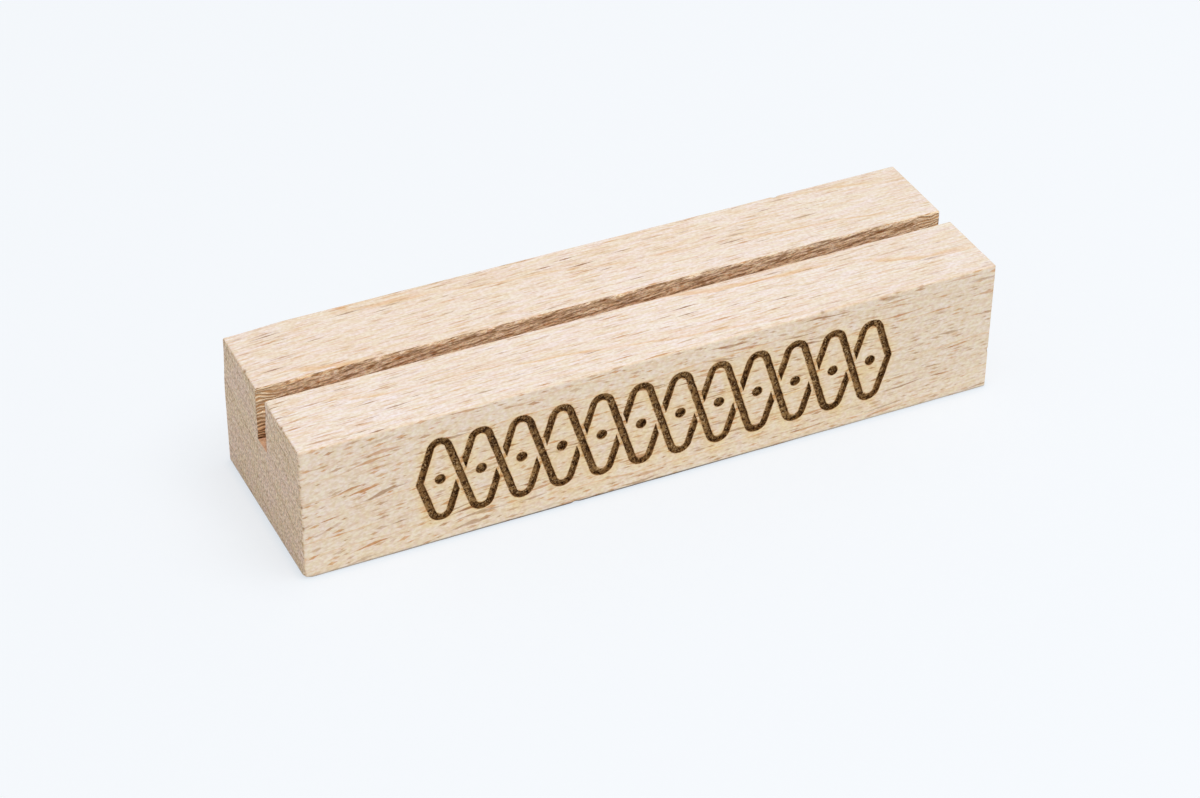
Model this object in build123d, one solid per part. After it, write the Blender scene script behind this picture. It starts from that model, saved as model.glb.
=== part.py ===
from build123d import *
import os
from math import asin, atan2, cos, degrees, hypot, sin

# Photo block holder: one block of solid beech that stands on a table. A saw cut along
# its top, open at both ends, holds a print or a card upright, and an ornament is burnt
# into its front as shallow grooves. The block is a single piece of wood, with nothing
# glued, screwed or laid on it, so it is one solid.
# Millimetres. X runs along the block, -Y is the engraved front, +Z is up, and the
# origin is the middle of the face that the block stands on.

# Block
block_length = 100.0
block_depth = 28.0
block_height = 20.0
edge_round = 0.3  # sanded outer edges

# Slot that takes the print
slot_width = 3.0
slot_depth = 8.0
slot_forward = 0.5  # the slot's centre lies this far in front of the block's middle
slot_edge_round = 0.2  # its edges are only just broken

# Ornament on the front: two interlaced strands that form a row of lozenges, each with
# a dot in it
groove_width = 1.0
groove_depth = 0.5
ornament_end_margin = 16.0  # from each end of the block to the middle of a strand's tip
ornament_edge_margin = 3.5  # bare wood above and below the grooves
lozenge_count = 12
crest_round = 1.3  # bend of a strand at each crest, on its centreline
weave_web = 0.4  # wood left standing on each side of the strand that passes over
dot_diameter = 1.5

# Cutters run this far past the surface that they break through
overrun = 1.0

# The ornament's place on the front
ornament_length = block_length - 2 * ornament_end_margin
lozenge_pitch = ornament_length / lozenge_count
crest_height = block_height / 2 - ornament_edge_margin - groove_width / 2

# Between two crests a strand is straight, on the line that touches both crest circles
crest_centre = crest_height - crest_round
centre_span = hypot(lozenge_pitch, 2 * crest_centre)
strand_slope = atan2(2 * crest_centre, lozenge_pitch) + asin(2 * crest_round / centre_span)
touch_x = crest_round * sin(strand_slope)
touch_z = crest_round * cos(strand_slope)


def crossing_x(index):
    """Place of a crossing along the ornament. The first and the last are its two tips."""
    return index * lozenge_pitch - ornament_length / 2


def lozenge_x(index):
    """Place of a lozenge's middle along the ornament."""
    return crossing_x(index) + lozenge_pitch / 2


def strand_groove(first_side):
    """Groove of one strand: straight runs and crest arcs, round at both ends.

    first_side is 1 where the first crest is at the top, and -1 where it is at the foot.
    """
    runs = []
    start = (crossing_x(0), 0)
    side = first_side
    for index in range(lozenge_count):
        middle_x = lozenge_x(index)
        arc_z = side * (crest_centre + touch_z)
        arc_start = (middle_x - touch_x, arc_z)
        arc_end = (middle_x + touch_x, arc_z)
        runs.append(Line(start, arc_start))
        runs.append(ThreePointArc(arc_start, (middle_x, side * crest_height), arc_end))
        start = arc_end
        side = -side
    runs.append(Line(start, (crossing_x(lozenge_count), 0)))
    return Face(Wire(runs).offset_2d(groove_width / 2))


def passage(index):
    """Band that clears the under strand at a crossing.

    It lies along the strand that passes over, with a web of wood on each side. The
    strand that comes down towards the right is always the one that passes over.
    """
    band_width = groove_width + 2 * weave_web
    band_length = (band_width + groove_width) / sin(2 * strand_slope)
    band = Rectangle(band_length, band_width)
    return Pos(crossing_x(index), 0) * Rot(0, 0, -degrees(strand_slope)) * band


def ornament():
    """Flat outline of every groove, about the middle of the front face."""
    upper = strand_groove(1)
    lower = strand_groove(-1)
    for index in range(1, lozenge_count):
        if index % 2:
            lower -= passage(index)
        else:
            upper -= passage(index)
    grooves = Sketch() + upper + lower
    for index in range(lozenge_count):
        grooves += Pos(lozenge_x(index), 0) * Circle(dot_diameter / 2)
    return grooves


def engraving_cutter():
    """Solid that cuts the grooves into the front face."""
    groove_floor = Plane(
        origin=(0, groove_depth - block_depth / 2, block_height / 2),
        x_dir=(1, 0, 0),
        z_dir=(0, -1, 0),
    )
    return extrude(groove_floor * ornament(), amount=groove_depth + overrun)


def slot_cutter():
    """Solid that saws the slot along the top, out through both ends."""
    cut = Box(
        block_length + 2 * overrun,
        slot_width,
        slot_depth + overrun,
        align=(Align.CENTER, Align.CENTER, Align.MIN),
    )
    return Pos(0, -slot_forward, block_height - slot_depth) * cut


def slot_rim(block):
    """Edges of the slot's two walls, apart from those on its floor."""
    walls = block.faces().filter_by(Axis.Y).sort_by(Axis.Y)[1:3]  # between front and back
    rim = ShapeList()
    for wall in walls:
        rim += wall.edges().sort_by(Axis.Z)[1:]
    return rim


def slotted_block():
    """The whole block: sanded box, sawn slot, engraved front."""
    box = Box(
        block_length,
        block_depth,
        block_height,
        align=(Align.CENTER, Align.CENTER, Align.MIN),
    )
    block = fillet(box.edges(), edge_round) - slot_cutter()
    block = fillet(slot_rim(block), slot_edge_round)
    return block - engraving_cutter()


os.makedirs("parts", exist_ok=True)
export_step(slotted_block(), "parts/slotted_block.step")
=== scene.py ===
import math
import bmesh
import bpy
from mathutils import Matrix, Vector, kdtree, noise


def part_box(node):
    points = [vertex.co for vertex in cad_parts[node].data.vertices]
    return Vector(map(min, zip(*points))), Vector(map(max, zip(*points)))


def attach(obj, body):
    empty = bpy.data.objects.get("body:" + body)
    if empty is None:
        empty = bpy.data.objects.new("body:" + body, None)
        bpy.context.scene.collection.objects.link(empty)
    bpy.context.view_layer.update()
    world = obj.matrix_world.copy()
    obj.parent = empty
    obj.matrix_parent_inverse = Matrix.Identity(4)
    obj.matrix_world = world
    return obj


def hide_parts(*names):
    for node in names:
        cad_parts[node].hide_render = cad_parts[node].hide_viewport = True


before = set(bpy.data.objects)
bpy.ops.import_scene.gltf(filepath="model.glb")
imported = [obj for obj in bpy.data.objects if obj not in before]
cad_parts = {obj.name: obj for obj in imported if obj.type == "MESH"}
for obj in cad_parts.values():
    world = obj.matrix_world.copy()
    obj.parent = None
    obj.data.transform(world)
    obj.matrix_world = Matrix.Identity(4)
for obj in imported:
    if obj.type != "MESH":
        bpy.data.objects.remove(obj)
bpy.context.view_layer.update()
scene = bpy.context.scene
mm = 0.001  # one millimetre in scene units; the sizes and places below are in millimetres
print("frame loaded")


# Shader nodes

def addNode(tree, kind, values=(), **settings):
    node = tree.nodes.new("ShaderNode" + kind)
    for name, value in settings.items():
        setattr(node, name, value)
    for socket, value in dict(values).items():
        if isinstance(value, bpy.types.NodeSocket):
            tree.links.new(value, node.inputs[socket])
        else:
            node.inputs[socket].default_value = value
    return node


def calc(tree, operation, *values):
    return addNode(tree, "Math", enumerate(values), operation=operation).outputs[0]


def rise(tree, value, start, end, low=0.0, high=1.0):
    # smooth step from low at start to high at end
    span = {"Value": value, "From Min": start, "From Max": end, "To Min": low, "To Max": high}
    return addNode(tree, "MapRange", span, interpolation_type="SMOOTHSTEP").outputs["Result"]


def tint(tree, factor, first, second, kind="MIX"):
    first, second = (c if isinstance(c, bpy.types.NodeSocket) else (*c, 1) for c in (first, second))
    sockets = {0: factor, 6: first, 7: second}
    return addNode(tree, "Mix", sockets, data_type="RGBA", blend_type=kind).outputs[2]


def stain(tree, factor, colour, shade):
    return tint(tree, factor, colour, shade, "MULTIPLY")


def blendValues(tree, factor, first, second):
    return addNode(tree, "Mix", {0: factor, 2: first, 3: second}, data_type="FLOAT").outputs[0]


def vector(tree, x=0.0, y=0.0, z=0.0):
    return addNode(tree, "CombineXYZ", {0: x, 1: y, 2: z}).outputs[0]


def split(tree, place):
    return addNode(tree, "SeparateXYZ", {0: place}).outputs


def stretch(tree, place, scale):
    return addNode(tree, "VectorMath", {0: place, 1: scale}, operation="MULTIPLY").outputs[0]


def inMillimetres(tree, place):
    return stretch(tree, place, (1 / mm,) * 3)


plainDetail = (1.0, 0.5)  # a noise's detail and roughness where its dictionary gives none


def grain(tree, place, look, name):
    # noise whose scale and detail stand under its name in a dictionary
    detail, roughness = look.get(name + "Detail", plainDetail)
    values = {"Vector": stretch(tree, place, look[name + "Scale"]), "Scale": 1.0}
    values.update({"Detail": detail, "Roughness": roughness})
    return addNode(tree, "TexNoise", values).outputs[0]


def newGroup(name, inputs, outputs):
    group = bpy.data.node_groups.new(name, "ShaderNodeTree")
    for label, kind in inputs:
        group.interface.new_socket(label, in_out="INPUT", socket_type="NodeSocket" + kind)
    for label, kind in outputs:
        group.interface.new_socket(label, in_out="OUTPUT", socket_type="NodeSocket" + kind)
    given = group.nodes.new("NodeGroupInput").outputs
    result = group.nodes.new("NodeGroupOutput").inputs
    return group, given, result


# Camera and studio

cameraSetup = {
    "lens": 94.09,
    "sensor": 36.0,
    "azimuth": -25.586,  # degrees; 0 looks along +Y
    "elevation": 35.905,
    "roll": 0.427,
    "distance": 424.786,  # from the point aimed at
    "aimRight": -1.897,  # the point aimed at, from the block's foot, as the camera sees it
    "aimUp": 3.125,
    "clipStart": 10,
}


def placeCamera(setup):
    azimuth = math.radians(setup["azimuth"])
    elevation = math.radians(setup["elevation"])
    roll = math.radians(setup["roll"])
    right = Vector((math.cos(azimuth), math.sin(azimuth), 0))
    level = Vector((math.sin(azimuth), -math.cos(azimuth), 0))
    back = level * math.cos(elevation) + Vector((0, 0, math.sin(elevation)))
    up = back.cross(right)
    aim = (right * setup["aimRight"] + up * setup["aimUp"]) * mm
    rolledRight = right * math.cos(roll) + up * math.sin(roll)
    rolledUp = up * math.cos(roll) - right * math.sin(roll)
    turn = Matrix((rolledRight, rolledUp, back)).transposed()
    data = bpy.data.cameras.new("camera")
    data.lens = setup["lens"]
    data.sensor_width = setup["sensor"]
    data.clip_start = setup["clipStart"] * mm
    camera = bpy.data.objects.new("camera", data)
    camera.matrix_world = Matrix.Translation(aim + back * setup["distance"] * mm) @ turn.to_4x4()
    scene.collection.objects.link(camera)
    scene.camera = camera


studio = {
    "floorSize": 6000,
    "floorColour": (0.90, 0.928, 0.962),
    "floorRoughness": 0.9,
    "plainShare": 0.72,  # how much of the floor's shade is left out of what the camera sees
    "contactReach": 1.6,  # nearer to the block than this the floor gets painted shade
    "contactRange": (1.0, 0.5),
    "contactSamples": 16,
    "contactShade": (0.928, 0.953, 0.973),
    "skyColour": (1.0, 1.0, 1.0),
    "skyStrength": 0.57,
    "lampPlace": (170, -250, 950),
    "lampSize": 800,
    "lampPower": 6.3,
}


def seenDirectly(tree):
    # 1 where the camera, a reflection or glass looks, and 0 for light on its way to the object
    rays = addNode(tree, "LightPath").outputs
    seen = calc(tree, "MAXIMUM", rays["Is Camera Ray"], rays["Is Glossy Ray"])
    return calc(tree, "MAXIMUM", seen, rays["Is Transmission Ray"])


def buildFloor():
    bm = bmesh.new()
    bmesh.ops.create_grid(bm, x_segments=1, y_segments=1, size=studio["floorSize"] * mm / 2)
    mesh = bpy.data.meshes.new("floor")
    bm.to_mesh(mesh)
    bm.free()
    floor = bpy.data.objects.new("floor", mesh)
    scene.collection.objects.link(floor)
    material = bpy.data.materials.new("paleFloor")
    material.use_nodes = True
    tree = material.node_tree
    shader = tree.nodes["Principled BSDF"]
    shader.inputs["Roughness"].default_value = studio["floorRoughness"]
    shader.inputs["Specular IOR Level"].default_value = 0.0
    reach, samples = studio["contactReach"] * mm, studio["contactSamples"]
    # painted shade: the floor's colour darkens near the block, the less open it is
    openness = addNode(tree, "AmbientOcclusion", {"Distance": reach}, samples=samples)
    contact = rise(tree, openness.outputs["AO"], *studio["contactRange"])
    colour = stain(tree, contact, studio["floorColour"], studio["contactShade"])
    tree.links.new(colour, shader.inputs["Base Color"])
    plain = addNode(tree, "Emission", {"Color": colour}).outputs[0]
    share = calc(tree, "MULTIPLY", seenDirectly(tree), studio["plainShare"])
    mixed = addNode(tree, "MixShader", {0: share, 1: shader.outputs[0], 2: plain}).outputs[0]
    tree.links.new(mixed, tree.nodes["Material Output"].inputs["Surface"])
    mesh.materials.append(material)


def lightStudio():
    world = bpy.data.worlds.new("studio")
    world.use_nodes = True
    tree = world.node_tree
    sky = tree.nodes["Background"]
    sky.inputs["Color"].default_value = (*studio["skyColour"], 1)
    sky.inputs["Strength"].default_value = studio["skyStrength"]
    backdrop = {"Color": (*studio["floorColour"], 1), "Strength": 1.0}
    shades = {1: sky.outputs[0], 2: addNode(tree, "Background", backdrop).outputs[0]}
    mixed = addNode(tree, "MixShader", {0: seenDirectly(tree), **shades}).outputs[0]
    tree.links.new(mixed, tree.nodes["World Output"].inputs["Surface"])
    scene.world = world
    data = bpy.data.lights.new("softBox", "AREA")
    data.shape = "SQUARE"
    data.size = studio["lampSize"] * mm
    data.energy = studio["lampPower"]
    lamp = bpy.data.objects.new("softBox", data)
    lamp.location = Vector(studio["lampPlace"]) * mm
    lamp.rotation_euler = lamp.location.to_track_quat("Z", "Y").to_euler()
    scene.collection.objects.link(lamp)


placeCamera(cameraSetup)
buildFloor()
lightStudio()
scene.view_settings.view_transform = "Standard"
print("camera and studio placed")


# The block's shape

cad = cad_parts["slotted_block"]
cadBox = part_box("slotted_block")
blockLow, blockHigh = (Vector(round(place / mm, 3) for place in corner) for corner in cadBox)
blockMiddle = (blockLow + blockHigh) / 2
blockHalf = (blockHigh - blockLow) / 2

blockShape = {
    "edgeRound": 0.3,  # outer edges, as on the frame
    "slotRear": 1.0,  # the slot's walls, floor and mouth, as on the frame
    "slotFront": -2.0,
    "slotFloor": 12.0,
    "rearMouthRound": 0.2,
    "frontMouthRound": 0.08,  # the front lip is crisper than on the frame
    "grooveDepth": 0.5,
    "panelSide": 37.0,  # inside these the front comes from the frame, with its grooves
    "panelFoot": 1.0,
    "panelHead": 19.0,
}

meshRows = {
    "step": 1.0,  # even rows over the whole block
    "close": (0.09, 0.2, 0.3, 0.42),  # rows this far from an edge carry its rounding
    "edgeCuts": 1,  # further cuts between two rows
    "mouthCuts": 3,
    "wallCuts": 3,
    "endCuts": 1,
    "endReach": 3.0,  # from each end of the slot
    "nickCuts": 2,
    "nickReach": 1.2,
    "shortest": 0.4,  # edges under this length are left whole
    "straight": 0.999,  # share of its length that an edge along an axis has to cover there
    "flatAngle": 0.2,  # degrees; below this two faces count as one
    "creaseAngle": 40,  # degrees; above this an edge is drawn sharp
}

# waves are noises that add up, each with its length, its height and its shift
wear = {
    "softening": 0.05,  # how far an outer edge is sanded back, at most
    "softeningWaves": ((5.0, 0.5, 0.0), (0.9, 0.3, 3.0)),
    "rearChips": 0.24,  # how ragged the slot's two upper edges are
    "frontChips": 0.03,
    "chipWaves": ((3.2, 0.5, 0.0), (0.6, 0.35, 5.0)),
    "chipShift": 7.0,  # sets one wall's chips off from the other's
    "mouthReach": 0.5,  # how far the wear of the slot's upper edges spreads
    "wallReach": 0.6,  # points this near to a wall are roughened with it
    "wallRidges": 0.08,  # ridges that the saw leaves along the slot's walls
    "tornRidges": 0.26,  # the same where the saw comes out at an end
    "tornReach": 3.0,
    "ridgeLength": 4.0,
    "ridgePitch": 0.5,
    "ridgeContrast": 0.9,
    "ridgeShift": 5.0,
    "ridgesAtFloor": 0.2,  # what is left of them at the slot's floor
    "grooveWobble": 0.05,  # how far a burnt edge strays
    "sidewaysWaves": ((1.1, 1.0, 6.0), (0.4, 0.6, 7.0)),
    "upwardWaves": ((1.1, 1.0, 8.0), (0.4, 0.6, 9.0)),
    "panelMargins": (2.0, 1.2),  # what stays even along the panel's ends, and its foot and head
    "groovePits": 0.14,  # depth of the pits in a groove's floor
    "pitWaves": ((0.45, 0.5, 1.0), (1.3, 0.4, 2.0)),
    "smokeReach": 2.2,  # how far smoke drifts down from a groove
    "smokeWaves": ((3.2, 1.4, 4.0),),
    "smokeFading": 1.5,  # the more, the sooner it thins out
    "darkNicks": 0.9,  # a nick smaller than this has a dark bottom
    "nickDarkness": (2.0, 0.6),  # how steeply it darkens, and what its rim is spared
    "seed": 11.0,
}

# wear on the edges: place, reach, and how far the middle is pushed in
nicks = [
    ((-50, -14, 17.9), 0.4, (0.07, 0.08, 0)),
    ((-50, -14, 14.6), 0.4, (0.08, 0.05, 0)),
    ((-50, -14, 11.4), 0.5, (0.10, 0.13, 0)),
    ((-50, -14, 8.0), 0.6, (0.18, 0.21, 0)),
    ((-50, -14, 0), 1.1, (0.14, 0.14, 0.14)),
    ((-50, -8.1, 20), 0.5, (0.09, 0, -0.09)),
    ((-50, -2, 18.8), 3.4, (0.16, 0, 0)),
    ((-50, 5.4, 20), 0.7, (0.18, 0, -0.18)),
    ((-50, 14, 20), 9.0, (0.20, -0.20, -0.20)),
    ((-50, 14, 15.3), 0.6, (0.10, -0.10, 0)),
    ((50, -14, 6.1), 0.6, (-0.11, 0.11, 0)),
    ((23.5, -14, 20), 0.6, (0, 0.07, -0.07)),
    ((-12.2, -14, 0), 0.7, (0, 0.10, 0.10)),
    ((31.0, 14, 20), 0.7, (0, -0.13, -0.13)),
    ((50, 9.4, 0), 0.8, (-0.14, 0, 0.14)),
]

far = 9.0  # past the reach of any burn or rounding
hair = 0.01  # small enough to tell two places apart
onPlane = hair / 5  # a point as near to a cut as this lies on it

# corners of the slot, of the panel's place on the front, and of its grooves
slotLow = Vector((blockLow.x, blockShape["slotFront"], blockShape["slotFloor"]))
slotHigh = Vector((blockHigh.x, blockShape["slotRear"], blockHigh.z))
panelLow = Vector((-blockShape["panelSide"], blockLow.y, blockShape["panelFoot"]))
panelHigh = Vector((blockShape["panelSide"], blockLow.y, blockShape["panelHead"]))
grooveLow = panelLow + Vector((0, 2 * hair, 0))
grooveHigh = panelHigh + Vector((0, blockShape["grooveDepth"], 0))


def middleOf(part):
    return sum((vert.co for vert in part.verts), Vector()) / len(part.verts) / mm


def within(place, low, high):
    return all(a - hair < c < b + hair for a, c, b in zip(low, place, high))


def facesIn(bm, low, high):
    return [face for face in bm.faces if within(middleOf(face), low, high)]


def evenRows(low, high, step):
    return [low + step * index for index in range(1, round((high - low) / step))]


def halfwayRows(low, high, step):
    return [low + step * (index + 0.5) for index in range(round((high - low) / step))]


def cutAcross(bm, axis, level, geometry=None, **cleared):
    normal = Vector((0, 0, 0))
    normal[axis] = 1
    geometry = geometry or bm.verts[:] + bm.edges[:] + bm.faces[:]
    spot = {"plane_co": normal * level * mm, "plane_no": normal, "dist": onPlane * mm}
    return bmesh.ops.bisect_plane(bm, geom=geometry, **spot, **cleared)["geom"]


def sliceFaces(bm, faces, axis, places):
    # cut at the middle place, then each half at its own places
    if not faces or not places:
        return
    half = len(places) // 2
    edges = list(dict.fromkeys(edge for face in faces for edge in face.edges))
    verts = list(dict.fromkeys(vert for face in faces for vert in face.verts))
    cut = cutAcross(bm, axis, places[half], faces + edges + verts)
    cutFaces = [part for part in cut if isinstance(part, bmesh.types.BMFace)]
    sliceFaces(bm, [f for f in cutFaces if middleOf(f)[axis] < places[half]], axis, places[:half])
    sliceFaces(bm, [f for f in cutFaces if middleOf(f)[axis] > places[half]], axis, places[half + 1:])


def splitEdges(bm, chosen, cuts, shortest=meshRows["shortest"]):
    # carry new rows across the faces between the edges that chosen picks
    edges = [edge for edge in bm.edges if edge.calc_length() > shortest * mm and chosen(edge)]
    bmesh.ops.subdivide_edges(bm, edges=edges, cuts=cuts, use_grid_fill=True)


def runsAlong(edge, axis):
    reach = abs(edge.verts[1].co[axis] - edge.verts[0].co[axis])
    return reach > meshRows["straight"] * edge.calc_length()


def cutPanel():
    # the engraved part of the front, cut out of the frame's mesh
    bm = bmesh.new()
    bm.from_mesh(cad.data)
    bmesh.ops.remove_doubles(bm, verts=bm.verts, dist=onPlane * mm / 2)
    edge = Vector((blockShape["edgeRound"], 0, blockShape["edgeRound"]))
    high = Vector((blockHigh.x, grooveHigh.y, blockHigh.z))
    kept = set(facesIn(bm, blockLow + edge, high - edge))
    bmesh.ops.delete(bm, geom=[face for face in bm.faces if face not in kept], context="FACES")
    flat = math.radians(meshRows["flatAngle"])
    bmesh.ops.dissolve_limit(bm, angle_limit=flat, verts=bm.verts, edges=bm.edges, delimit=set())
    spans = [(axis, panelLow[axis], panelHigh[axis]) for axis in (0, 2)]
    for axis, start, end in spans:
        cutAcross(bm, axis, start, clear_inner=True)
        cutAcross(bm, axis, end, clear_outer=True)
    step = meshRows["step"]
    for point in bm.verts:
        # points on the border go to the shell's rows, or the seam would stay open
        place = point.co / mm
        for axis, other in ((0, 2), (2, 0)):
            if not panelLow[axis] + hair < place[axis] < panelHigh[axis] - hair:
                row = round((place[other] - panelLow[other]) / step)
                point.co[other] = (panelLow[other] + row * step) * mm
    for axis, start, end in spans:
        sliceFaces(bm, bm.faces[:], axis, evenRows(start, end, step))
    # closer rows inside the border, and the closest in the grooves
    inward = Vector((step, 0, step))
    for axis, start, end in spans:
        inner = facesIn(bm, panelLow + inward, grooveHigh - inward)
        sliceFaces(bm, inner, axis, halfwayRows(start + step, end - step, step))
    for axis, start, end in spans:
        grooves = facesIn(bm, grooveLow, grooveHigh)
        sliceFaces(bm, grooves, axis, halfwayRows(start + step, end - step, step / 2))
    panel = bpy.data.meshes.new("panel")
    bm.to_mesh(panel)
    bm.free()
    return panel


def splitRuns(bm, axis):
    # rows about one step apart between the cuts made so far
    runs = {}
    for edge in bm.edges:
        if runsAlong(edge, axis):
            runs.setdefault(round(edge.calc_length() / mm / meshRows["step"]), []).append(edge)
    for count, edges in sorted(runs.items()):
        if count > 1:
            bmesh.ops.subdivide_edges(bm, edges=edges, cuts=count - 1, use_grid_fill=True)


def addShell(bm):
    # a box whose top is pushed in between the slot's walls, open at both ends
    size = Matrix.Diagonal((*(2 * blockHalf * mm), 1))
    bmesh.ops.create_cube(bm, size=1.0, matrix=Matrix.Translation(blockMiddle * mm) @ size)
    for axis, level in ((1, slotHigh.y), (1, slotLow.y), (2, slotLow.z)):
        cutAcross(bm, axis, level)
    mouth = facesIn(bm, (slotLow.x, slotLow.y, slotHigh.z), slotHigh)
    pushed = bmesh.ops.extrude_face_region(bm, geom=mouth)["geom"]
    pushed = [part for part in pushed if isinstance(part, bmesh.types.BMVert)]
    bmesh.ops.translate(bm, verts=pushed, vec=(0, 0, (slotLow.z - slotHigh.z) * mm))
    openings = facesIn(bm, (slotLow.x, slotLow.y, slotHigh.z), slotHigh)
    for end in (slotLow.x, slotHigh.x):
        openings += facesIn(bm, (end, slotLow.y, slotLow.z), (end, slotHigh.y, slotHigh.z))
    bmesh.ops.delete(bm, geom=openings, context="FACES")
    bmesh.ops.remove_doubles(bm, verts=bm.verts, dist=hair * mm)

    # rows close to the edges, and round the panel's place
    edges = [(1, slotHigh.y, 1), (1, slotLow.y, -1)]
    for axis in range(3):
        edges += [(axis, blockLow[axis], 1), (axis, blockHigh[axis], -1)]
    for axis, edge, inward in edges:
        for reach in meshRows["close"]:
            cutAcross(bm, axis, edge + inward * reach)
    for axis in (0, 2):
        for corner in (panelLow, panelHigh):
            cutAcross(bm, axis, corner[axis])
    bmesh.ops.delete(bm, geom=facesIn(bm, panelLow, panelHigh), context="FACES")
    for axis in range(3):
        splitRuns(bm, axis)


def onOuterEdge(place):
    near = [h - abs(c) < meshRows["close"][-1] + hair for h, c in zip(blockHalf, place - blockMiddle)]
    return sum(near) > 1


def refineMesh(bm):
    rows = meshRows
    reach = rows["close"][-1]
    mouthLow = Vector((slotLow.x, slotLow.y - reach, slotHigh.z - reach))
    mouthHigh = slotHigh + Vector((0, reach, 0))
    inner = blockHigh.x - rows["endReach"]
    spots = [Vector(place) for place, reach, push in nicks if reach < 2 * rows["nickReach"]]

    def onMouth(edge):
        return runsAlong(edge, 0) and within(middleOf(edge), mouthLow, mouthHigh)

    def onWall(edge):
        return runsAlong(edge, 2) and within(middleOf(edge), slotLow, slotHigh)

    def atNick(edge):
        return min((middleOf(edge) - spot).length for spot in spots) < rows["nickReach"]

    def atTornEnd(edge):
        middle = middleOf(edge)
        return abs(middle.x) > inner and within(middle, slotLow, slotHigh)

    splitEdges(bm, onMouth, rows["mouthCuts"])
    splitEdges(bm, onWall, rows["wallCuts"])
    for axis in range(3):
        splitEdges(bm, lambda e: runsAlong(e, axis) and onOuterEdge(middleOf(e)), rows["edgeCuts"])
    splitEdges(bm, atNick, rows["nickCuts"])
    splitEdges(bm, atTornEnd, rows["endCuts"], rows["shortest"] / 2)


def uneven(point, waves, total=0.5):
    # smooth noise about one half, or about the total given
    for length, height, shift in waves:
        total += height * noise.noise(point / length + Vector((shift, wear["seed"], -shift)))
    return total


def armOf(point, low, high, radius):
    # from the nearest point of the box that a rounding is rolled over
    return point - Vector(max(a + radius, min(b - radius, c)) for a, c, b in zip(low, point, high))


def roundness(point):
    # 1 in the middle of a rounded outer edge, 0 on a flat face
    arm = armOf(point, blockLow, blockHigh, blockShape["edgeRound"])
    if arm.length < blockShape["edgeRound"] / 2:
        return 0.0
    shares = sorted(abs(part) / arm.length for part in arm)
    return 2 * shares[1] * shares[2]


def mouthNearness(point):
    # 1 on the slot's upper edges, 0 away from them
    outward = max(0.0, point.y - slotHigh.y, slotLow.y - point.y)
    if slotLow.y + hair < point.y < slotHigh.y - hair or point.z < slotLow.z:
        return 0.0
    return max(0.0, 1 - math.hypot(outward, slotHigh.z - point.z) / wear["mouthReach"])


def markWear(bm):
    # distance from a groove's edge, smoke below the grooves, worn edges and dark nicks
    burn = bm.verts.layers.float.new("burn")
    smoke = bm.verts.layers.float.new("smoke")
    edge = bm.verts.layers.float.new("edge")
    nick = bm.verts.layers.float.new("nick")
    floor = grooveHigh.y + hair
    drift = wear["smokeReach"]
    steepness, spared = wear["nickDarkness"]
    rims = [v for v in bm.verts if len({f.material_index for f in v.link_faces}) > 1]
    rims = [v for v in rims if v.co.y / mm < floor]
    tree = kdtree.KDTree(len(rims))
    for index, vert in enumerate(rims):
        tree.insert((vert.co.x / mm, 0, vert.co.z / mm), index)
    tree.balance()
    for vert in bm.verts:
        point = vert.co / mm
        vert[burn] = far
        if point.y < floor:
            flat = Vector((point.x, 0, point.z))
            vert[burn] = min(far, tree.find(flat)[2])
            above = tree.find(flat + Vector((0, 0, drift / 2)))[2]
            density = max(0.0, uneven(flat, wear["smokeWaves"]))
            vert[smoke] = density * max(0.0, 1 - above / drift) ** wear["smokeFading"]
        vert[edge] = max(roundness(point), mouthNearness(point))
        for place, reach, push in nicks:
            if reach < wear["darkNicks"]:
                share = max(0.0, 1 - (point - Vector(place)).length / reach)
                vert[nick] = max(vert[nick], min(1.0, steepness * share - spared))


def roundOff(point, low, high, radius):
    # onto the rounded edges of a box, and never outward
    arm = armOf(point, low, high, radius)
    if arm.length > radius:
        return point - arm * (1 - radius / arm.length)
    return point


def roundMouth(point):
    low, high = blockLow.copy(), blockHigh.copy()
    low.z = -far
    if point.z < slotLow.z + hair or slotLow.y < point.y < slotHigh.y:
        return point
    if point.y > (slotHigh.y + slotLow.y) / 2:
        low.y, high.y = slotHigh.y, blockHigh.y + far
        return roundOff(point, low, high, blockShape["rearMouthRound"])
    low.y, high.y = blockLow.y - far, slotLow.y
    return roundOff(point, low, high, blockShape["frontMouthRound"])


def roundEdges(point):
    # the frame's rounding, sanded back unevenly
    onEdge = roundness(point)
    if onEdge == 0:
        return point
    point = roundOff(point, blockLow, blockHigh, blockShape["edgeRound"])
    rough = max(0.0, uneven(point, wear["softeningWaves"]))
    arm = armOf(point, blockLow, blockHigh, blockShape["edgeRound"])
    return point - arm.normalized() * wear["softening"] * onEdge * rough


def dentEdges(point):
    for place, reach, push in nicks:
        distance = (point - Vector(place)).length
        if distance < reach:
            point = point + Vector(push) * (1 - (distance / reach) ** 2) ** 2
    return point


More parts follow.
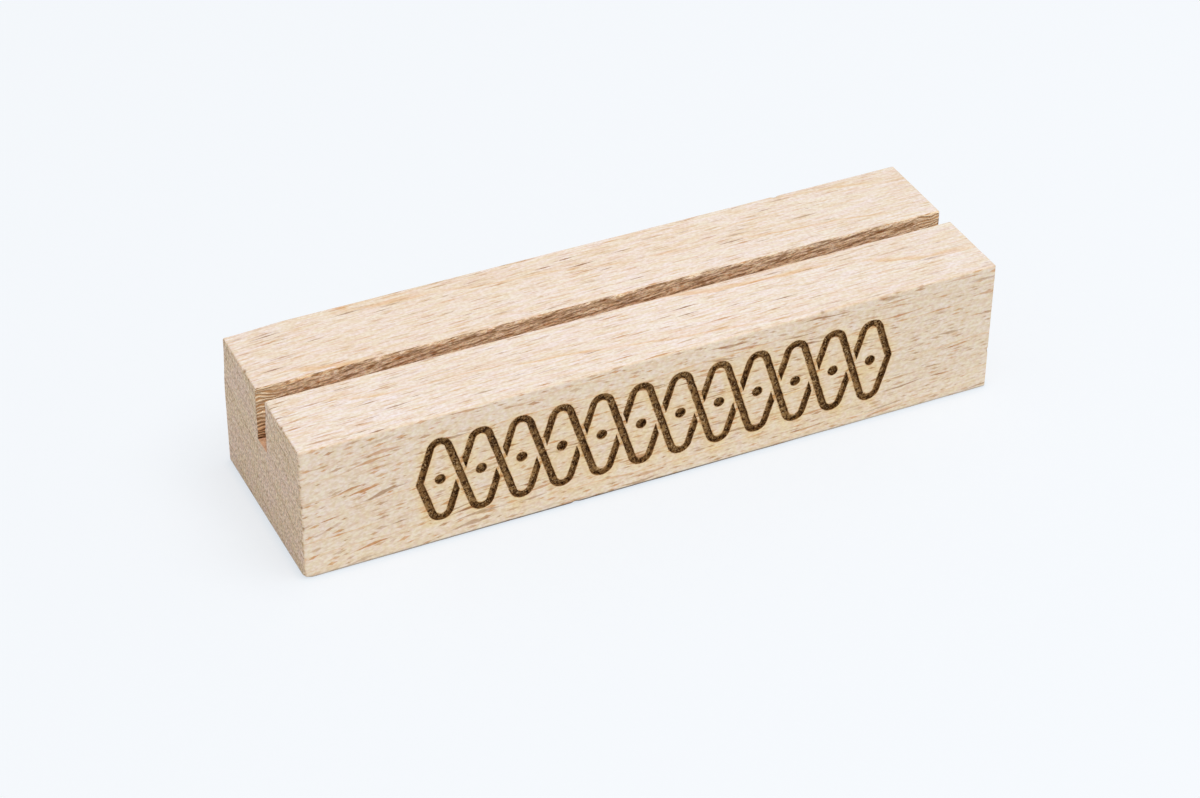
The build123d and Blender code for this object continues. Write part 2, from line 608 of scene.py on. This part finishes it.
def roughenSlot(point):
    # chipped upper edges, and ridges along the walls
    toRear, toFront = point.y - slotHigh.y, slotLow.y - point.y
    outward = max(toRear, toFront)
    if not -hair < outward < wear["wallReach"] or point.z < slotLow.z - hair:
        return point
    side = 1 if toRear > toFront else -1
    line = Vector((point.x, side * wear["chipShift"], 0))
    chips = uneven(line, wear["chipWaves"]) * wear["rearChips" if side > 0 else "frontChips"]
    chips = mouthNearness(point) * max(0.0, chips)
    point = point.copy()
    if outward < blockShape["rearMouthRound"] / 2:
        toEnd = slotHigh.x - abs(point.x)
        torn = max(0.0, 1 - toEnd / wear["tornReach"])
        height = wear["wallRidges"] + (wear["tornRidges"] - wear["wallRidges"]) * torn
        along, up = point.x / wear["ridgeLength"], point.z / wear["ridgePitch"]
        ridge = noise.noise(Vector((along, side * wear["ridgeShift"], up)))
        ridge = max(0.0, 0.5 + wear["ridgeContrast"] * ridge)
        below, above = slotHigh.z - point.z, point.z - slotLow.z
        point.y += side * height * ridge * min(1.0, below, above + wear["ridgesAtFloor"])
    point.y += side * chips
    point.z -= chips / 2
    return point


def roughenGrooves(point):
    # frayed edges and pitted floors, clear of the panel's own border
    across, upward = wear["panelMargins"]
    margin = Vector((across, 0, upward))
    if not within(point, panelLow + margin, grooveHigh - margin):
        return point
    flat = point.xz.to_3d()
    point = point.copy()
    point.x += wear["grooveWobble"] * uneven(flat, wear["sidewaysWaves"], 0.0)
    point.z += wear["grooveWobble"] * uneven(flat, wear["upwardWaves"], 0.0)
    if point.y > grooveHigh.y - hair:
        point.y += wear["groovePits"] * uneven(point, wear["pitWaves"])
    return point


def colourZones(bm):
    for index, low, high in ((1, slotLow, slotHigh), (2, grooveLow, grooveHigh)):
        for face in facesIn(bm, low, high):
            face.material_index = index


def buildBlock():
    bm = bmesh.new()
    addShell(bm)
    print("shell made:", len(bm.verts), "points")
    panel = cutPanel()
    bm.from_mesh(panel)
    bpy.data.meshes.remove(panel)
    print("panel added:", len(bm.verts), "points")
    bmesh.ops.remove_doubles(bm, verts=bm.verts, dist=hair * mm / 2)
    refineMesh(bm)
    bmesh.ops.recalc_face_normals(bm, faces=bm.faces)
    print("block meshed:", len(bm.verts), "points")
    colourZones(bm)
    markWear(bm)
    for vert in bm.verts:
        point = vert.co / mm
        for change in (roundMouth, roundEdges, dentEdges, roughenSlot, roughenGrooves):
            point = change(point)
        vert.co = point * mm
    bm.normal_update()
    for face in bm.faces:
        face.smooth = True
    for edge in bm.edges:
        edge.smooth = edge.calc_face_angle(0) < math.radians(meshRows["creaseAngle"])
    mesh = bpy.data.meshes.new("beech_block")
    bm.to_mesh(mesh)
    bm.free()
    block = bpy.data.objects.new("beech_block", mesh)
    scene.collection.objects.link(block)
    return block


block = buildBlock()
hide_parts("slotted_block")
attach(block, "root")
print("block built:", sum(len(p.vertices) - 2 for p in block.data.polygons), "triangles")


# Beech

# a scale is waves per millimetre along X, Y and Z; a detail is a noise's detail and roughness; a
# range is where an effect starts and where it is full
beech = {
    "frontLean": (-0.010, -0.000475, 0.0000132),  # how the fibres climb along the front, and its change
    "topLean": (0.025, -0.0003, 0.0),  # how they drift back along the top
    "frontFan": -0.0035,  # near the head they fall as much as they climb near the foot
    "swayScale": (0.12, 0.5, 0.5),
    "topSway": 0.3,
    "sideSway": 1.2,
    "sideShortening": 3.4,  # the grain's marks are this much shorter on the front and back
    "otherFace": 61.0,  # sets the foot's pattern off from the top's, and the back's from the front's
    "endFacing": (0.55, 0.9),  # how squarely a surface has to face along the block to be an end
    "sideFacing": (0.45, 0.9),  # and across it to be the front or the back
    "pale": (0.965, 0.905, 0.845),
    "straw": (0.905, 0.755, 0.60),
    "sideStraw": 0.6,  # share of it that is left on the front and back
    "fibreScale": (0.18, 3.4, 3.4),
    "fibreDetail": (2.0, 0.65),
    "fibreRange": (0.42, 0.70),
    "mottleScale": (0.35, 2.8, 2.8),
    "mottleDetail": (1.0, 0.6),
    "mottleRange": (0.38, 0.66, 0.0, 0.6),
    "mottle": (0.95, 0.905, 0.85),
    "gritScale": (1.8, 2.7, 2.7),
    "gritRange": (0.34, 0.66),
    "grit": (0.915, 0.865, 0.80),
    "hueScale": (0.35, 1.5, 1.5),
    "hueDetail": (3.0, 0.7),
    "hueRange": (0.36, 0.64),
    "pink": (1.0, 0.965, 0.975),
    "yellow": (0.985, 0.97, 0.87),
    "cloudScale": (0.03, 0.10, 0.10),
    "cloudRange": (0.30, 0.70),
    "cloud": (0.985, 0.975, 0.955),
    "warmRear": (0.98, 0.96, 0.92),  # the wood grows warmer towards the back
    "warmRange": (-6.0, 12.0),
    "paintedShadeRight": (0.974, 0.984, 0.988),  # painted shade: a little darker towards the right, as the light falls off there
    "paintedShadeRange": (5.0, 50.0),
}

rings = {
    "across": (-0.030, -0.260, 0.965),
    "spacing": 2.7,
    "wanderScale": (0.03, 0.12, 0.12),
    "wander": 2.0,
    "sway": 0.4,
    "unevenScale": (0.16, 1.0, 1.0),
    "uneven": 1.4,  # how much one ring differs from the next
    "lateRange": (0.45, 0.96),
    "lateEnd": (1.0, 0.97),
    "late": (0.982, 0.958, 0.925),
    "lineRange": (0.925, 0.965),
    "lineEnd": (1.0, 0.985),
    "line": (0.965, 0.83, 0.67),
    "shownScale": (0.05, 0.35, 0.35),
    "shownDetail": (2.0, 0.5),
    "shownRange": (0.42, 0.58),
}

# ray flecks, large and fine: a cell's length and thickness, the least and most size of the dash
# in it as shares of the cell, how rare dark ones are, and the shades that they range between
topFlecks = (
    {
        "cell": (11.0, 0.75),
        "size": (0.10, 0.28),
        "rarity": 1.1,
        "cool": (0.42, 0.26, 0.16),
        "warm": (0.70, 0.44, 0.24),
    },
    {
        "cell": (6.5, 0.40),
        "size": (0.14, 0.42),
        "rarity": 0.9,
        "cool": (0.74, 0.59, 0.46),
        "warm": (0.88, 0.68, 0.47),
    },
)
sideFlecks = (
    {
        "cell": (12.5, 0.95),
        "size": (0.11, 0.37),
        "rarity": 1.3,
        "cool": (0.50, 0.33, 0.21),
        "warm": (0.72, 0.45, 0.26),
    },
    {
        "cell": (3.0, 0.58),
        "size": (0.15, 0.48),
        "rarity": 0.62,
        "cool": (0.64, 0.45, 0.31),
        "warm": (0.80, 0.54, 0.34),
    },
)
fleckShape = {
    "point": 0.8,  # the smaller, the longer and thinner a fleck's tips
    "edge": (1.0, 0.65),  # it is full inside the second of these shares of its size
    "wobbleScale": (0.9, 2.4, 2.4),
    "wobble": (0.15, 0.1),  # along it and across it
    "kinds": (0.3, 0.7),  # chance of the cool shade, and where the warm one is sure
    "topFade": (5.0, 50.0, 1.0, 0.65),  # they fade a little towards the right
    "sideFade": (5.0, 50.0, 1.0, 0.8),
}


def swing(tree, place, look, name):
    # noise about zero
    return calc(tree, "SUBTRACT", grain(tree, place, look, name), 0.5)


def dashes(tree, along, across, wobble, side, onTop, onSide):
    # a short dark spindle in each stretched cell, with the top's values or the side's
    length, thickness = (blendValues(tree, side, a, b) for a, b in zip(onTop["cell"], onSide["cell"]))
    least, most = (blendValues(tree, side, a, b) for a, b in zip(onTop["size"], onSide["size"]))
    rarity = blendValues(tree, side, onTop["rarity"], onSide["rarity"])
    bend, stray = fleckShape["wobble"]
    along = calc(tree, "MULTIPLY_ADD", wobble, bend, calc(tree, "DIVIDE", along, length))
    across = calc(tree, "MULTIPLY_ADD", wobble, stray, calc(tree, "DIVIDE", across, thickness))
    cell = {"Vector": vector(tree, along, across), "Scale": 1.0, "Exponent": fleckShape["point"]}
    cells = addNode(tree, "TexVoronoi", cell, voronoi_dimensions="2D", distance="MINKOWSKI").outputs
    chance = split(tree, cells["Color"])
    size = calc(tree, "MULTIPLY_ADD", chance[0], calc(tree, "SUBTRACT", most, least), least)
    inside = rise(tree, calc(tree, "DIVIDE", cells["Distance"], size), *fleckShape["edge"])
    dark = calc(tree, "MULTIPLY", inside, calc(tree, "POWER", chance[1], rarity))
    kind = rise(tree, chance[2], *fleckShape["kinds"])
    shades = (tint(tree, kind, face["cool"], face["warm"]) for face in (onTop, onSide))
    return dark, tint(tree, side, *shades)


def ringMarks(tree, place, sway):
    # a slow darkening, and a thin line at its end that comes and goes
    across = {0: place, 1: rings["across"]}
    ringPlace = addNode(tree, "VectorMath", across, operation="DOT_PRODUCT").outputs["Value"]
    wander = swing(tree, place, rings, "wander")
    ringPlace = calc(tree, "MULTIPLY_ADD", wander, rings["wander"], ringPlace)
    ringPlace = calc(tree, "MULTIPLY_ADD", sway, rings["sway"], ringPlace)
    uneven = grain(tree, vector(tree, ringPlace), rings, "uneven")
    turns = calc(tree, "DIVIDE", ringPlace, rings["spacing"])
    phase = calc(tree, "FRACT", calc(tree, "MULTIPLY_ADD", uneven, rings["uneven"], turns))
    late, lateEnd, line, lineEnd = (
        rise(tree, phase, *rings[name]) for name in ("lateRange", "lateEnd", "lineRange", "lineEnd")
    )
    shown = rise(tree, grain(tree, place, rings, "shown"), *rings["shownRange"])
    line = calc(tree, "MULTIPLY", calc(tree, "MULTIPLY", line, lineEnd), shown)
    return calc(tree, "MULTIPLY", late, lateEnd), line


def leanOf(tree, x, lean):
    # how far the fibres have strayed at a place along the block
    start, change, bend = lean
    slope = calc(tree, "MULTIPLY_ADD", x, bend, change)
    slope = calc(tree, "MULTIPLY_ADD", x, slope, start)
    return calc(tree, "MULTIPLY", x, slope)


def buildFigure():
    group, given, result = newGroup(
        "beechFigure",
        [("Position", "Vector"), ("Side", "Float"), ("End", "Float")],
        [("Color", "Color")] + [(name, "Float") for name in ("Ring", "Line", "Flecks", "Fibre")],
    )
    place = inMillimetres(group, given["Position"])
    x, y, z = split(group, place)
    side = calc(group, "ROUND", given["Side"])
    flat = calc(group, "SUBTRACT", 1.0, given["End"])
    back = calc(group, "SUBTRACT", y, leanOf(group, x, beech["topLean"]))
    fan = calc(group, "MULTIPLY", calc(group, "SUBTRACT", blockMiddle.z, z), beech["frontFan"])
    climb = calc(group, "MULTIPLY_ADD", x, fan, z)
    climb = calc(group, "SUBTRACT", climb, leanOf(group, x, beech["frontLean"]))
    along = calc(group, "MULTIPLY", x, blendValues(group, side, 1.0, beech["sideShortening"]))
    wood = vector(group, along, back, climb)
    sway = swing(group, vector(group, x, back, climb), beech, "sway")
    wobble = swing(group, place, fleckShape, "wobble")
    late, line = ringMarks(group, place, sway)

    # flecks: one kind on the top and the foot, another on the front and the back
    onTop = calc(group, "ROUND", calc(group, "DIVIDE", z, blockHigh.z))
    upper = calc(group, "MULTIPLY_ADD", onTop, beech["otherFace"], back)
    upper = calc(group, "MULTIPLY_ADD", sway, beech["topSway"], upper)
    outer = calc(group, "MULTIPLY_ADD", calc(group, "SIGN", y), beech["otherFace"], climb)
    outer = calc(group, "MULTIPLY_ADD", sway, beech["sideSway"], outer)
    across = blendValues(group, side, upper, outer)
    layers = [dashes(group, x, across, wobble, side, *faces) for faces in zip(topFlecks, sideFlecks)]

    fibre = grain(group, wood, beech, "fibre")
    straw = rise(group, fibre, *beech["fibreRange"])
    straw = calc(group, "MULTIPLY", straw, blendValues(group, side, 1.0, beech["sideStraw"]))
    mottle, grit, hue, cloud = (
        rise(group, grain(group, where, beech, name), *beech[name + "Range"])
        for where, name in ((wood, "mottle"), (place, "grit"), (wood, "hue"), (wood, "cloud"))
    )
    colour = tint(group, straw, beech["pale"], beech["straw"])
    colour = stain(group, mottle, colour, beech["mottle"])
    colour = stain(group, grit, colour, beech["grit"])
    colour = stain(group, 1.0, colour, tint(group, hue, beech["pink"], beech["yellow"]))
    colour = stain(group, cloud, colour, beech["cloud"])
    rear = calc(group, "MULTIPLY", flat, rise(group, y, *beech["warmRange"]))
    colour = stain(group, rear, colour, beech["warmRear"])
    # painted shade towards the right
    colour = stain(group, rise(group, x, *beech["paintedShadeRange"]), colour, beech["paintedShadeRight"])
    colour = stain(group, late, colour, rings["late"])
    colour = stain(group, line, colour, rings["line"])
    fades = (rise(group, x, *fleckShape[name]) for name in ("topFade", "sideFade"))
    shown = calc(group, "MULTIPLY", flat, blendValues(group, side, *fades))
    flecks = 0.0
    for dark, shade in layers:
        dark = calc(group, "MULTIPLY", dark, shown)
        colour = stain(group, dark, colour, shade)
        flecks = calc(group, "MAXIMUM", flecks, dark)
    found = {"Color": colour, "Ring": late, "Line": line, "Flecks": flecks, "Fibre": fibre}
    for name, socket in found.items():
        group.links.new(socket, result[name])
    return group


def startMaterial(name):
    material = bpy.data.materials.new(name)
    material.use_nodes = True
    tree = material.node_tree
    texture = addNode(tree, "TexCoord").outputs
    return material, tree, texture, inMillimetres(tree, texture["Object"])


def addFigure(tree, texture, figure):
    # the figure's outputs, and where the surface is the front or back, or an end
    facing = split(tree, texture["Normal"])
    end = rise(tree, calc(tree, "ABSOLUTE", facing[0]), *beech["endFacing"])
    side = rise(tree, calc(tree, "ABSOLUTE", facing[1]), *beech["sideFacing"])
    wood = tree.nodes.new("ShaderNodeGroup")
    wood.node_tree = figure
    for name, socket in {"Position": texture["Object"], "Side": side, "End": end}.items():
        tree.links.new(socket, wood.inputs[name])
    return wood.outputs, side, end


def finishMaterial(tree, look, colour, height):
    shader = tree.nodes["Principled BSDF"]
    bump = addNode(tree, "Bump", {"Height": height, "Distance": look["relief"] * mm, "Strength": 1.0})
    tree.links.new(colour, shader.inputs["Base Color"])
    tree.links.new(bump.outputs["Normal"], shader.inputs["Normal"])
    shader.inputs["Roughness"].default_value = look["roughness"]
    shader.inputs["Specular IOR Level"].default_value = look["gloss"]


def readMark(tree, name):
    return addNode(tree, "Attribute", attribute_name=name).outputs["Fac"]


sanded = {
    "top": (0.93, 0.93, 0.985),
    "front": (0.925, 0.89, 0.845),
    "end": (0.925, 0.90, 0.855),
    "poreScale": (2.6, 2.6, 2.6),
    "poreDetail": (2.0, 0.7),
    "poreRange": (0.42, 0.62),
    "pores": (0.62, 0.58, 0.53),
    "patchScale": (1.9, 1.5, 1.9),
    "patchDetail": (2.0, 0.6),
    "patchRange": (0.40, 0.62),
    "patches": (0.93, 0.84, 0.80),
    "endHueScale": (0.4, 0.22, 0.22),
    "endHueDetail": (2.0, 0.5),
    "endHueRange": (0.40, 0.60),
    "endPink": (1.02, 0.98, 0.995),
    "endYellow": (1.0, 0.975, 0.90),
    "endRingRange": (0.38, 0.55),
    "endRings": (0.88, 0.87, 0.855),
    "endLine": (0.66, 0.60, 0.55),
    "paintedFootLight": (1.03, 1.035, 1.025),  # painted light: the front and back are a little lighter near the foot, as from light bounced off the floor
    "paintedFootLightRange": (5.0, 2.0),
    "edge": (1.0, 0.965, 0.91),
    "scorchRange": (1.3, 0.1),
    "scorch": (1.0, 0.97, 0.87),
    "smoke": (1.0, 0.965, 0.82),
    "fringeRange": (0.16, 0.0),
    "fringeGrain": (0.35, 0.6, 0.4, 1.0),
    "fringe": (0.72, 0.50, 0.27),
    "footDarkest": -8.0,  # painted shade along the foot's edge, darkest here along the block
    "footFade": (5.0, 50.0, 1.0, 0.35),
    "footRange": (0.47, 0.25),
    "footShade": (0.12, 0.105, 0.09),
    "nick": (0.55, 0.45, 0.36),
    "roughness": 0.62,
    "gloss": 0.3,
    "fleckHeight": -0.6,
    "poreHeight": -1.5,
    "relief": 0.035,
}


def makeSandedBeech(figure):
    material, tree, texture, place = startMaterial("sandedBeech")
    wood, side, end = addFigure(tree, texture, figure)
    x, y, z = split(tree, place)
    pores = grain(tree, place, sanded, "pore")
    patches = grain(tree, place, sanded, "patch")
    face = tint(tree, side, sanded["top"], sanded["front"])
    face = tint(tree, end, face, sanded["end"])
    colour = stain(tree, 1.0, wood["Color"], face)
    # painted light from the floor near the foot of the front and back
    share = calc(tree, "MULTIPLY", side, rise(tree, z, *sanded["paintedFootLightRange"]))
    colour = stain(tree, share, colour, sanded["paintedFootLight"])

    # end grain: open pores between faint rings
    share = calc(tree, "MULTIPLY", end, rise(tree, pores, *sanded["poreRange"]))
    colour = stain(tree, share, colour, sanded["pores"])
    share = calc(tree, "MULTIPLY", end, rise(tree, patches, *sanded["patchRange"]))
    colour = stain(tree, share, colour, sanded["patches"])
    hue = rise(tree, grain(tree, place, sanded, "endHue"), *sanded["endHueRange"])
    colour = stain(tree, end, colour, tint(tree, hue, sanded["endPink"], sanded["endYellow"]))
    share = calc(tree, "MULTIPLY", wood["Ring"], rise(tree, patches, *sanded["endRingRange"]))
    colour = stain(tree, calc(tree, "MULTIPLY", end, share), colour, sanded["endRings"])
    colour = stain(tree, calc(tree, "MULTIPLY", end, wood["Line"]), colour, sanded["endLine"])
    colour = stain(tree, readMark(tree, "edge"), colour, sanded["edge"])

    # scorched fringe and smoke round the engraving
    burn = readMark(tree, "burn")
    colour = stain(tree, rise(tree, burn, *sanded["scorchRange"]), colour, sanded["scorch"])
    colour = stain(tree, readMark(tree, "smoke"), colour, sanded["smoke"])
    frayed = rise(tree, pores, *sanded["fringeGrain"])
    share = calc(tree, "MULTIPLY", rise(tree, burn, *sanded["fringeRange"]), frayed)
    colour = stain(tree, share, colour, sanded["fringe"])

    # painted shade on the foot's edge, and the dark bottoms of the nicks
    offDarkest = calc(tree, "ABSOLUTE", calc(tree, "SUBTRACT", x, sanded["footDarkest"]))
    share = rise(tree, offDarkest, *sanded["footFade"])
    # painted shade: darker towards the foot's edge
    share = calc(tree, "MULTIPLY", share, rise(tree, z, *sanded["footRange"]))
    colour = stain(tree, share, colour, sanded["footShade"])
    colour = stain(tree, readMark(tree, "nick"), colour, sanded["nick"])
    height = calc(tree, "MULTIPLY_ADD", wood["Flecks"], sanded["fleckHeight"], wood["Fibre"])
    share = calc(tree, "MULTIPLY", end, pores)
    height = calc(tree, "MULTIPLY_ADD", share, sanded["poreHeight"], height)
    finishMaterial(tree, sanded, colour, height)
    return material


sawn = {
    # painted light: lifts the slot's walls past the wood's own colour, for light that the slot's shade
    # keeps out
    "paintedWallLight": (1.38, 1.32, 1.22),
    "slant": 0.1,  # how steeply the fibres climb along the walls
    "streakScale": (0.26, 1.0, 3.2),
    "streakDetail": (3.0, 0.65),
    "streakRange": (0.43, 0.61),
    "streak": (0.42, 0.33, 0.26),
    "fuzzScale": (1.5, 3.0, 4.2),
    "fuzzDetail": (2.0, 0.6),
    "fuzzRange": (0.42, 0.62),
    "fuzz": (0.68, 0.60, 0.52),
    "deep": (0.90, 0.84, 0.76),  # dust and painted shade towards the slot's floor
    "deepRange": (17.0, 12.0),
    "tearScale": (0.45, 0.5, 0.9),  # torn fibres where the saw comes out at an end
    "tearPitch": 0.5,
    "tearWander": 2.6,
    "tearRange": (-0.5, 0.7),
    "tearLight": (1.0, 0.80, 0.56),
    "tearShade": (0.66, 0.38, 0.18),
    "deepLight": (0.88, 0.55, 0.30),
    "deepShade": (0.25, 0.12, 0.05),
    "tearDeepRange": (16.4, 13.4),
    "tearReach": (45.6, 48.6),
    "footRange": (12.6, 12.2),
    "foot": (0.30, 0.24, 0.20),  # a dark line along the foot of each wall
    "floorRange": (12.15, 12.05),
    # painted light: the slot's floor is tinted pink for warm light bounced inside the slot
    "floor": (0.96, 0.72, 0.58),
    "floorDust": (0.84, 0.77, 0.70),
    "scratchSlope": 1.6,  # a few slanting scratches that the saw left
    "scratchSpacing": 11.0,
    "scratchScale": (0.05, 1.0, 1.0),
    "scratchWander": 4.0,
    "scratchWidth": (0.03, 0.01),
    "scratch": 0.22,
    "roughness": 0.8,
    "gloss": 0.15,
    "relief": 0.09,
}


def makeSawnBeech(figure):
    material, tree, texture, place = startMaterial("sawnBeech")
    wood = addFigure(tree, texture, figure)[0]
    x, y, z = split(tree, place)
    fibres = vector(tree, x, y, calc(tree, "MULTIPLY_ADD", x, -sawn["slant"], z))
    streaks = grain(tree, fibres, sawn, "streak")
    fuzz = grain(tree, fibres, sawn, "fuzz")
    dust = rise(tree, fuzz, *sawn["fuzzRange"])
    # painted light on the slot's walls
    colour = stain(tree, 1.0, wood["Color"], sawn["paintedWallLight"])
    colour = stain(tree, rise(tree, streaks, *sawn["streakRange"]), colour, sawn["streak"])
    colour = stain(tree, dust, colour, sawn["fuzz"])
    # painted shade deeper in the slot
    colour = stain(tree, rise(tree, z, *sawn["deepRange"]), colour, sawn["deep"])

    # torn ends
    torn = rise(tree, calc(tree, "ABSOLUTE", x), *sawn["tearReach"])
    wander = grain(tree, place, sawn, "tear")
    turns = calc(tree, "DIVIDE", z, sawn["tearPitch"])
    turns = calc(tree, "MULTIPLY_ADD", wander, sawn["tearWander"], turns)
    tears = calc(tree, "SINE", calc(tree, "MULTIPLY", turns, math.tau))
    deep = rise(tree, z, *sawn["tearDeepRange"])
    light = tint(tree, deep, sawn["tearLight"], sawn["deepLight"])
    shade = tint(tree, deep, sawn["tearShade"], sawn["deepShade"])
    ridges = tint(tree, rise(tree, tears, *sawn["tearRange"]), light, shade)
    ridges = stain(tree, rise(tree, z, *sawn["footRange"]), ridges, sawn["foot"])
    colour = tint(tree, torn, colour, ridges)

    # the floor is more even than the walls, and tinted pink: painted light for warm light bounced
    # inside the slot
    floor = stain(tree, 1.0, wood["Color"], sawn["floor"])
    floor = stain(tree, dust, floor, sawn["floorDust"])
    colour = tint(tree, rise(tree, z, *sawn["floorRange"]), colour, floor)

    # slanting scratches
    slant = calc(tree, "MULTIPLY_ADD", z, sawn["scratchSlope"], x)
    wander = grain(tree, vector(tree, slant), sawn, "scratch")
    turns = calc(tree, "DIVIDE", slant, sawn["scratchSpacing"])
    turns = calc(tree, "MULTIPLY_ADD", wander, sawn["scratchWander"], turns)
    offLine = calc(tree, "ABSOLUTE", calc(tree, "SUBTRACT", calc(tree, "FRACT", turns), 0.5))
    scratch = calc(tree, "MULTIPLY", rise(tree, offLine, *sawn["scratchWidth"]), dust)
    colour = tint(tree, calc(tree, "MULTIPLY", scratch, sawn["scratch"]), colour, beech["pale"])
    height = calc(tree, "SUBTRACT", fuzz, calc(tree, "MULTIPLY", torn, tears))
    finishMaterial(tree, sawn, colour, calc(tree, "ADD", streaks, height))
    return material


scorched = {
    "charScale": (2.2, 2.2, 2.2),
    "charDetail": (3.0, 0.7),
    "charRange": (0.42, 0.58),
    "dark": (0.09, 0.036, 0.008),
    "light": (0.46, 0.265, 0.10),
    "speckScale": (3.2, 3.2, 3.2),
    "speckDetail": (2.0, 0.6),
    "speckRange": (0.55, 0.66),
    "speck": (0.75, 0.52, 0.27),
    "toneScale": (0.35, 0.35, 0.35),
    "toneRange": (0.40, 0.62),
    "tone": (0.72, 0.66, 0.60),
    # the groove's floor darkens along its rim: partly the burn's own dark edge, partly painted shade
    # from the walls
    "rimRange": (0.16, 0.02),
    "rim": (0.68, 0.60, 0.50),
    "roughness": 0.85,
    "gloss": 0.15,
    "relief": 0.11,
}


def makeScorchedBeech():
    material, tree, texture, place = startMaterial("scorchedBeech")
    char, specks, tone = (grain(tree, place, scorched, name) for name in ("char", "speck", "tone"))
    colour = tint(tree, rise(tree, char, *scorched["charRange"]), scorched["dark"], scorched["light"])
    colour = tint(tree, rise(tree, specks, *scorched["speckRange"]), colour, scorched["speck"])
    colour = stain(tree, rise(tree, tone, *scorched["toneRange"]), colour, scorched["tone"])
    # darker along the rim: burnt edge and painted shade
    rim = rise(tree, readMark(tree, "burn"), *scorched["rimRange"])
    colour = stain(tree, rim, colour, scorched["rim"])
    finishMaterial(tree, scorched, colour, char)
    return material


figure = buildFigure()
for material in (makeSandedBeech(figure), makeSawnBeech(figure), makeScorchedBeech()):
    block.data.materials.append(material)
print("beech finished")
